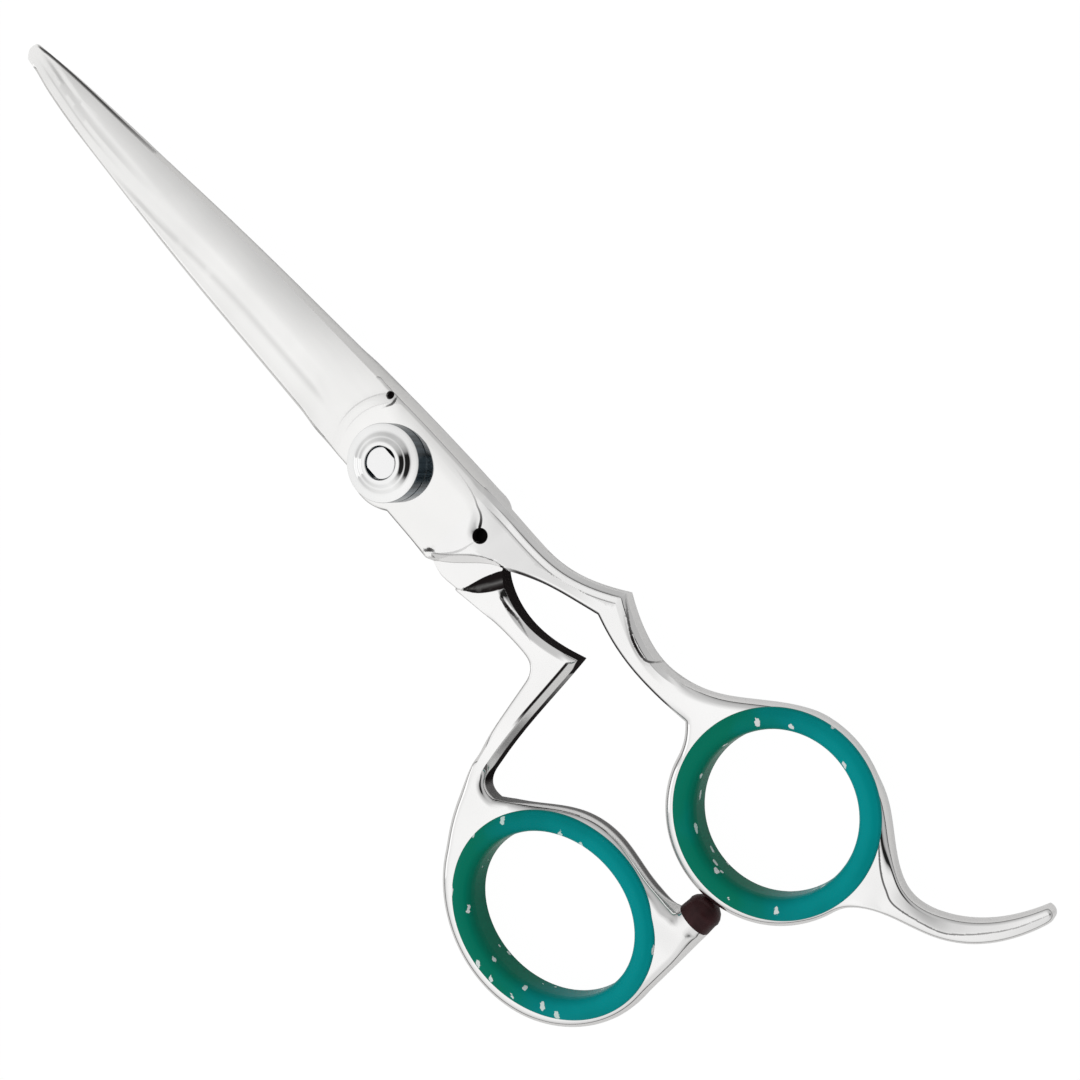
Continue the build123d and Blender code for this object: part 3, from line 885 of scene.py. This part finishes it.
def turned(name, profile, closed, sides=128):
    """Mesh of a profile (radius, height) turned about the pivot axis."""
    turns = np.arange(sides) * 2 * pi / sides
    grid = np.array([[(r * cos(t), r * sin(t), z) for t in turns] for r, z in profile])
    return woven(name, grid, closed)


def swept_round(name, path, profile):
    """Mesh of a closed profile (outward, height) carried round a closed path in the plan."""
    normals = outward_normals(path)
    grid = np.array([
        np.column_stack([path + normals * outward, np.full(len(path), up)])
        for outward, up in profile])
    return woven(name, grid)


def ring_insert(side, material):
    """Moulded finger ring insert with a soft lip over each face of the ring."""
    node = f"{side}_insert"
    foot, top = low(node)[2], high(node)[2]
    bore = even(joined(section(node, (foot + top) / 2))[-1], 0.3)
    lip = RING_BASE - foot
    wall, flange, under = 1.25, 2.78, 2.2
    groove = foot + lip + 0.1
    crown, shoulder = flange * 0.62, top - 0.45
    profile = filleted([
        (0, foot, 0.5), (under, foot, 0.5), (under, groove, 0.1), (wall, groove, 0), (wall, top - lip, 0),
        (flange, top - lip - 0.3, 0.1), (flange, shoulder, 0.55), (crown, top, 1.6),
        (0.2, top - 0.12, 1.1), (0, top - 1.6, 1.0)])
    mesh = swept_round(f"{side}_ring_insert", bore, profile)
    return show(mesh, f"{side}_ring_insert", f"{side}_half", material, [node], 50)


CROWN_HEIGHT = 0.72      # of the dial, above its side, whose dark colour is a painted reflection
CROWN_FOOT = 0.06        # the crown's curve starts this far above that
CROWN_LAND = (2.7, 2.55)     # radii at the foot and the top of its last short slope
CROWN_SLOPES = (         # the crown's rings: outer radius, inner radius and slope in degrees
    (DIAL_R - 0.2, 3.95, 6), (3.95, 3.4, 23), (3.4, 3.2, 12), (3.2, 2.7, 23))
GROOVE_PITCH, GROOVE_DEPTH = 0.11, 0.02      # of the rings turned round its side
CAVITY_R = 4.45


def tension_dial(material):
    """Flat-crowned nut with fine turned rings round its side, which its material paints with a dark
    reflection.
    """
    hole = BUSH_R - 1.06
    foot = UPPER_FACE + 0.03
    rim = DIAL_TOP - CROWN_HEIGHT
    rings = int((rim - foot - 0.2) / GROOVE_PITCH)
    side = [(DIAL_R - GROOVE_DEPTH * (i % 2), foot + 0.12 + GROOVE_PITCH * i) for i in range(rings)]
    profile = [(hole, CAVITY_TOP), (CAVITY_R, CAVITY_TOP), (CAVITY_R, foot + 0.05),
               (CAVITY_R + 0.05, foot), (DIAL_R - 0.08, foot), *side, (DIAL_R, rim - 0.05),
               (DIAL_R - 0.05, rim + 0.03), *crown_curve(rim + CROWN_FOOT), (hole + 0.2, DIAL_TOP),
               (hole + 0.08, DIAL_TOP - 0.01), (hole, DIAL_TOP - 0.1)]
    mesh = turned("dial_crown", profile, True)
    return show(mesh, "dial_crown", "dial", material, ["tension_dial"], 35)


def crown_curve(lowest, steps=4):
    """The crown's profile from its rim inward: nearly level, two steeper turned rings, a flat top."""
    drops = [(start - end) * tan(radians(slope)) for start, end, slope in CROWN_SLOPES]
    spare = DIAL_TOP - 0.02 - lowest - sum(drops)
    height, points = lowest, []
    for (start, end, _), drop in zip(CROWN_SLOPES, drops):
        rise = drop + spare * drop / sum(drops)
        points += [(start + (end - start) * i / steps, height + rise * i / steps) for i in range(steps)]
        height += rise
    return [*points, (CROWN_LAND[0], height), (CROWN_LAND[1], DIAL_TOP)]


def pivot_stud(material):
    """Stud with a polished flat head and a double-D end inside the dial."""
    head, journal, end, flat = high("pivot_stud")[0], 2.5, 2.1, 1.7
    top = high("pivot_stud")[2]
    bevel = 0.16
    profile = [(0, 0), (0.6, 0), (head - 0.25, 0), (head - 0.08, 0.06), (head, 0.2),
               (head, LOWER_FACE), (journal, LOWER_FACE), (journal, MATE), (journal, UPPER_FACE),
               (end, UPPER_FACE), (end, top - bevel), (end - 0.05, top - 0.05), (end - bevel, top),
               (end - 0.3, top), (0, top)]
    mesh = turned("pivot_stud_turned", profile, False, 96)
    for vertex in mesh.vertices:
        if vertex.co.z > UPPER_FACE * MM - 1e-7:
            vertex.co.y = max(-flat * MM, min(flat * MM, vertex.co.y))
    return show(mesh, "pivot_stud_turned", "thumb_half", material, ["pivot_stud"], 35)


def bumper(material):
    """Moulded rubber stop: a rounded nose, a shallow waist and a stem in the lug."""
    lowest, highest, radius, axis = bumper_place()
    nose, stem_end = lowest[1], highest[1]
    lug, stem = stem_end - STEM, 1.08
    waist = 0.05
    outer = filleted([(0, nose, 0), (radius, nose, 1.9), (radius, lug, 0.12), (0, lug, 0)])
    profile = [(0, nose)]
    profile += [(r * (1 - waist * between(y, lug - 1.6, lug - 0.7, 0.3)), y) for r, y in outer[1:-1]]
    profile += [(stem, lug), (stem, stem_end - 0.1), (stem - 0.1, stem_end), (0, stem_end)]
    turns = np.arange(64) * 2 * pi / 64
    grid = np.array([[(axis[0] + r * cos(t), y, axis[1] + r * sin(t)) for t in turns]
                     for r, y in profile])
    mesh = woven("bumper_moulded", grid, False)
    return show(mesh, "bumper_moulded", "thumb_half", material, ["bumper"], 40)


# ---- node trees ----

class Graph:
    """A node tree with a short way to add nodes to it."""

    def __init__(self, tree):
        self.nodes, self.links = tree.nodes, tree.links

    def feed(self, socket, value):
        """Links an output to an input, or sets the input to a number, vector or colour."""
        if isinstance(value, bpy.types.NodeSocket):
            self.links.new(value, socket)
        else:
            socket.default_value = value

    def add(self, kind, result, *values, **named):
        """Adds a node and gives its output called result. The values go to its inputs in order.

        Capitalised names are inputs too, with _ for a space, and the others are the node's settings.
        """
        node = self.nodes.new("ShaderNode" + kind)
        for name, value in named.items():
            if name[0].islower():
                setattr(node, name, value)
        for socket, value in zip(node.inputs, values):
            self.feed(socket, value)
        for name, value in named.items():
            if name[0].isupper():
                self.feed(node.inputs[name.replace("_", " ")], value)
        return node.outputs[result]

    def math(self, operation, first, second):
        return self.add("Math", "Value", first, second, operation=operation)

    def dot(self, vector, direction):
        return self.add("VectorMath", "Value", vector, direction, operation="DOT_PRODUCT")

    def mix(self, factor, first, second, blend="MIX"):
        return self.add("Mix", "Result", data_type="RGBA", blend_type=blend,
                        Factor=factor, A=first, B=second)

    def spread(self, value, low_in, high_in, low_out, high_out):
        """A value carried over from one range to another."""
        return self.add("MapRange", "Result", value, low_in, high_in, low_out, high_out)

    def colours(self, value, *stops):
        """Colour ramp over a value: (place, colour) pairs."""
        node = self.nodes.new("ShaderNodeValToRGB")
        elements = node.color_ramp.elements
        elements[0].position, elements[1].position = stops[0][0], stops[-1][0]
        for place, _ in stops[1:-1]:
            elements.new(place)
        for element, (_, colour) in zip(elements, stops):
            element.color = (*colour, 1)
        self.feed(node.inputs["Fac"], value)
        return node.outputs["Color"]

    def greys(self, value, stops):
        return self.colours(value, *[(place, (grey, grey, grey)) for place, grey in stops])


# ---- materials ----

SATIN = 0.15             # roughness that the brushed faces have above the polished ones
MOST = (0.3, 0.7)        # nearly all of a noise's values lie between these


class Surface(Graph):
    """A material with a Principled shader."""

    def __init__(self, name, **fixed):
        self.material = bpy.data.materials.new(name)
        self.material.use_nodes = True
        super().__init__(self.material.node_tree)
        self.shader = self.nodes["Principled BSDF"]
        self.where = self.add("TexCoord", "Object")
        self.use(**fixed)

    def use(self, **values):
        """Feeds the shader's inputs, named with _ for a space."""
        for name, value in values.items():
            self.feed(self.shader.inputs[name.replace("_", " ")], value)

    def noise(self, scale, detail=2, stretch=(1, 1, 1), turn=0):
        """Noise with features about 1/scale metres across, drawn out along an axis."""
        placed = self.add("Mapping", "Vector", self.where, Scale=stretch, Rotation=(0, 0, radians(turn)))
        return self.add("TexNoise", "Fac", Vector=placed, Scale=scale, Detail=detail)

    def varied(self, noise, lowest, highest):
        """A number that a noise carries between two values."""
        return self.spread(noise, *MOST, lowest, highest)

    def mottled(self, noise, first, second):
        """A colour that a noise carries between two colours."""
        return self.colours(noise, (MOST[0], first), (MOST[1], second))

    def facing_up(self):
        return self.add("SeparateXYZ", "Z", self.add("NewGeometry", "Normal"))

    def bump(self, height, depth):
        """Raises the surface by a height from 0 to 1 times a depth in millimetres."""
        earlier = self.shader.inputs["Normal"].links
        base = {"Normal": earlier[0].from_socket} if earlier else {}
        self.use(Normal=self.add("Bump", "Normal", Height=height, Distance=depth * MM, **base))


def steel(name, colour, roughness, grind, grind_depth):
    """Polished steel with buffing marks and faint handling scratches, painted dark and less metallic
    where its mesh carries painted shade and dark reflections.
    """
    surface = Surface(name, Specular_IOR_Level=0.0)
    cloud = surface.noise(90, 3)
    bright = surface.mottled(cloud, [c * 0.96 for c in colour], [min(1, c * 1.02) for c in colour])
    # dark colour of the painted shade and painted dark reflections
    painted_shade_colour = surface.mottled(cloud, (0.010, 0.008, 0.009), (0.026, 0.021, 0.021))
    painted_shade, satin = (surface.add("Attribute", "Fac", attribute_name=layer_name) for layer_name in ("painted_shade", "satin"))
    lines = surface.noise(1500, 3, grind)
    rubbed = surface.spread(surface.noise(260, 4), 0.35, 0.7, roughness * 0.85, roughness * 1.3)
    shine = surface.math("ADD", surface.varied(lines, -0.02, 0.02), rubbed)
    shine = surface.math("ADD", shine, surface.math("MULTIPLY", painted_shade, 0.25))
    shine = surface.math("ADD", shine, surface.math("MULTIPLY", satin, SATIN))
    # painted shade: darker, rougher and less metallic where the mesh's shade layer is
    surface.use(Base_Color=surface.mix(painted_shade, bright, painted_shade_colour), Roughness=shine,
                Metallic=surface.math("SUBTRACT", 1, surface.math("MULTIPLY", painted_shade, 0.96)))
    surface.bump(lines, grind_depth)
    scratches = surface.spread(surface.noise(2500, 1, (0.03, 1.2, 1), 24), 0.66, 0.72, 0, 1)
    surface.bump(scratches, 0.0005)
    return surface.material


def dial_steel():
    """Polished crown over a finely turned side, painted dark as a painted reflection on the faces that
    don't face up.
    """
    surface = Surface("polished_dial_steel")
    cloud = surface.noise(200, 3)
    upward = surface.facing_up()
    brushed = surface.noise(2200, 2, (1, 1, 0.04))
    painted_side_reflection = surface.colours(brushed, (0.35, (0.02, 0.035, 0.045)), (0.65, (0.09, 0.13, 0.16)))
    bright = surface.mottled(cloud, (0.84, 0.84, 0.84), (0.89, 0.89, 0.88))
    # painted reflection: faces that don't face up get the dark colour and less metal
    surface.use(Base_Color=surface.mix(surface.spread(upward, 0.25, 0.55, 0, 1), painted_side_reflection, bright),
                Metallic=surface.spread(upward, 0.25, 0.55, 0.35, 1),
                Roughness=surface.varied(cloud, 0.05, 0.09))
    surface.bump(cloud, 0.002)
    return surface.material


SHADEWARD = (0.7, 0.714, 0)  # across the plan, the inserts are painted greener and darker this way, a painted shade


def painted_glints(surface):
    """1 on small ragged painted glints, drawn out a little, 0 between them."""
    drawn = surface.add("Mapping", "Vector", surface.where, vector_type="TEXTURE",
                        Rotation=(0, 0, radians(-44)), Scale=(1.9, 1, 1))
    cells = surface.add("TexVoronoi", "Distance", Vector=drawn, Scale=470)
    ragged = surface.varied(surface.noise(2600, 2), -0.05, 0.05)
    return surface.spread(surface.math("ADD", cells, ragged), 0.15, 0.17, 1, 0)


def teal_plastic(side):
    """Glossy moulded plastic with painted shade, greener and darker away from the light and on faces that
    don't face up, and small painted glints.
    """
    surface = Surface(f"teal_plastic_{side}", Roughness=0.22, IOR=1.09)
    node = f"{side}_insert"
    centre = float((low(node) + high(node)) / 2 * MM @ SHADEWARD)
    reach = 9 * MM
    # share across the ring toward its painted shade side
    far = surface.spread(surface.dot(surface.where, SHADEWARD), centre - reach, centre + reach, 0, 1)
    swirl = surface.noise(110, 3)
    mixed = surface.math("ADD", far, surface.varied(swirl, -0.25, 0.25))
    upward = surface.spread(surface.facing_up(), 0.0, 0.9, 0, 1)
    # painted shade: faces that don't face up get the darker, greener colour; upward faces get the painted
    # lit one
    painted_shade_teal = surface.colours(mixed, (0.1, (0.004, 0.34, 0.34)), (0.8, (0.010, 0.24, 0.15)))
    lit = surface.colours(mixed, (0.05, (0.003, 0.37, 0.38)), (0.5, (0.002, 0.29, 0.285)),
                          (0.9, (0.003, 0.235, 0.15)))
    pale = surface.colours(swirl, (0.3, (0.75, 0.95, 0.9)), (0.6, (1.0, 1.0, 1.0)))
    # pale painted glints over the teal
    surface.use(Base_Color=surface.mix(painted_glints(surface), surface.mix(upward, painted_shade_teal, lit), pale))
    surface.bump(surface.noise(450, 2), 0.02)
    return surface.material


def rubber():
    """Dark brown moulded rubber, slightly rubbed."""
    surface = Surface("bumper_rubber", IOR=1.5, Specular_IOR_Level=0.15)
    mottle = surface.noise(700, 4)
    surface.use(Base_Color=surface.mottled(mottle, (0.026, 0.008, 0.009), (0.052, 0.017, 0.019)),
                Roughness=surface.varied(surface.noise(300, 3), 0.28, 0.5))
    surface.bump(mottle, 0.03)
    return surface.material


def white_bearing():
    """Off-white low-friction plastic of the pivot's washer and bush."""
    surface = Surface("bearing_plastic", IOR=1.45)
    mottle = surface.noise(500, 3)
    surface.use(Base_Color=surface.mottled(mottle, (0.62, 0.60, 0.55), (0.75, 0.73, 0.68)),
                Roughness=surface.varied(mottle, 0.35, 0.5))
    surface.bump(mottle, 0.01)
    return surface.material


def coat(node, material):
    """Gives a carried-over CAD node its material."""
    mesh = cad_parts[node].data
    mesh.materials.clear()
    mesh.materials.append(material)


# ---- the studio ----

EYE = Vector((-79.4, -80.6, 235))
TARGET = Vector((-20.5, -7.2, 4))
OPENING = EYE - TARGET    # the tent is open where the picture is taken from
SLIT = 0.42               # how far the opening is drawn out toward the thumb ring's side
# brightness of the tent, as (place, brightness) stops
WALL = ((0.03, 0.02), (0.08, 0.1), (0.2, 0.62), (0.45, 0.82), (0.7, 0.92), (0.9, 1.0))    # by height
OPENING_RIM = ((0.78, 1.0), (0.9, 0.84), (0.955, 0.55), (0.98, 0.02))    # toward the opening
HEEL_SIDE = ((0.34, 0.62), (0.45, 0.74), (0.535, 0.86), (0.625, 1.0))    # from -Y at 0 to +Y at 1
BACKDROP = (0.9, 0.9, 0.9, 1)    # what the camera itself sees behind the table
TENT_STRENGTH = 1.04


def studio_world():
    """White tent with a dark opening above the shears' heel side, darker near the horizon."""
    world = bpy.data.worlds.new("tent")
    bpy.context.scene.world = world
    world.use_nodes = True
    tent = Graph(world.node_tree)
    direction = tent.add("TexCoord", "Generated")
    upward, thumbward = (tent.add("SeparateXYZ", axis, direction) for axis in "ZY")
    aside = tent.dot(direction, OPENING.cross(Vector((0, 0, 1))).normalized())
    aside = tent.math("MAXIMUM", aside, 0)
    stretched = tent.math("MULTIPLY", tent.math("MULTIPLY", aside, aside), SLIT)
    toward = tent.math("ADD", tent.dot(direction, OPENING.normalized()), stretched)
    along_y = tent.math("ADD", tent.math("MULTIPLY", thumbward, 0.5), 0.5)
    lit = tent.mix(1, tent.greys(upward, WALL), tent.greys(toward, OPENING_RIM), "MULTIPLY")
    lit = tent.mix(1, lit, tent.greys(along_y, HEEL_SIDE), "MULTIPLY")
    background = tent.nodes["Background"].inputs
    tent.feed(background["Color"], tent.mix(tent.add("LightPath", "Is Camera Ray"), lit, BACKDROP))
    tent.feed(background["Strength"], TENT_STRENGTH)


def floor():
    """Plain pale table, in the plane that the shears rest on."""
    reach = 1.5
    mesh = bpy.data.meshes.new("floor")
    corners = [(-reach, -reach, 0), (reach, -reach, 0), (reach, reach, 0), (-reach, reach, 0)]
    mesh.from_pydata(corners, [], [(0, 1, 2, 3)])
    table = bpy.data.objects.new("floor", mesh)
    table.location.z = -0.05 * MM
    bpy.context.scene.collection.objects.link(table)
    surface = Surface("pale_table", Roughness=0.9)
    surface.use(Base_Color=surface.mottled(surface.noise(30, 2), (0.72, 0.71, 0.70), (0.78, 0.77, 0.76)))
    glow = surface.add("Emission", "Emission", Strength=1.03)
    seen = surface.math("MULTIPLY", surface.add("LightPath", "Is Camera Ray"), 0.96)
    mirrored = surface.math("MULTIPLY", surface.add("LightPath", "Is Glossy Ray"), 0.36)
    both = surface.add("MixShader", "Shader", surface.math("MAXIMUM", seen, mirrored),
                       surface.shader.outputs["BSDF"], glow)
    surface.feed(surface.nodes["Material Output"].inputs["Surface"], both)
    mesh.materials.append(surface.material)


def soft_light(name, place, size, power, target=(-0.02, 0, 0)):
    """Square soft light; its place and size are in metres and its power in watts."""
    data = bpy.data.lights.new(name, "AREA")
    data.shape = "SQUARE"
    data.size = size
    data.energy = power
    light = bpy.data.objects.new(name, data)
    light.location = place
    light.rotation_euler = (Vector(target) - Vector(place)).to_track_quat("-Z", "Y").to_euler()
    bpy.context.scene.collection.objects.link(light)


def camera():
    """Looks down on the shears from the heel side, with the tips at the upper left."""
    upward = Vector((0.714, -0.700, 0))
    back = (EYE - TARGET).normalized()
    right = upward.cross(back).normalized()
    data = bpy.data.cameras.new("camera")
    data.sensor_width = 36
    data.lens = 66.67
    data.clip_start = 0.01
    view = bpy.data.objects.new("camera", data)
    view.matrix_world = Matrix((right, back.cross(right), back)).transposed().to_4x4()
    view.location = EYE * MM
    bpy.context.scene.collection.objects.link(view)
    bpy.context.scene.camera = view


def main():
    blade_steel = steel("satin_blade_steel", (0.88, 0.875, 0.865), 0.07, (0.05, 1, 1), 0.0008)
    handle_steel = steel("polished_handle_steel", (0.88, 0.875, 0.87), 0.07, (0.3, 1, 1), 0.0004)
    pivot_steel = steel("polished_pivot_steel", (0.86, 0.86, 0.86), 0.06, (1, 1, 1), 0.0003)
    washer_steel = steel("washer_steel", (0.70, 0.70, 0.70), 0.22, (1, 1, 1), 0.001)
    shear_halves(blade_steel, handle_steel)
    for side in ("finger", "thumb"):
        ring_insert(side, teal_plastic(side))
    tension_dial(dial_steel())
    pivot_stud(pivot_steel)
    bumper(rubber())
    bearing = white_bearing()
    for node in ("blade_washer", "pivot_bush"):
        coat(node, bearing)
    for node in ("thrust_washer", "wave_washer", "click_plate"):
        coat(node, washer_steel)
    studio_world()
    floor()
    soft_light("key", (0.5, 0.6, 0.3), 0.3, 0.12)
    camera()
    bpy.context.scene.view_settings.view_transform = "Standard"


main()
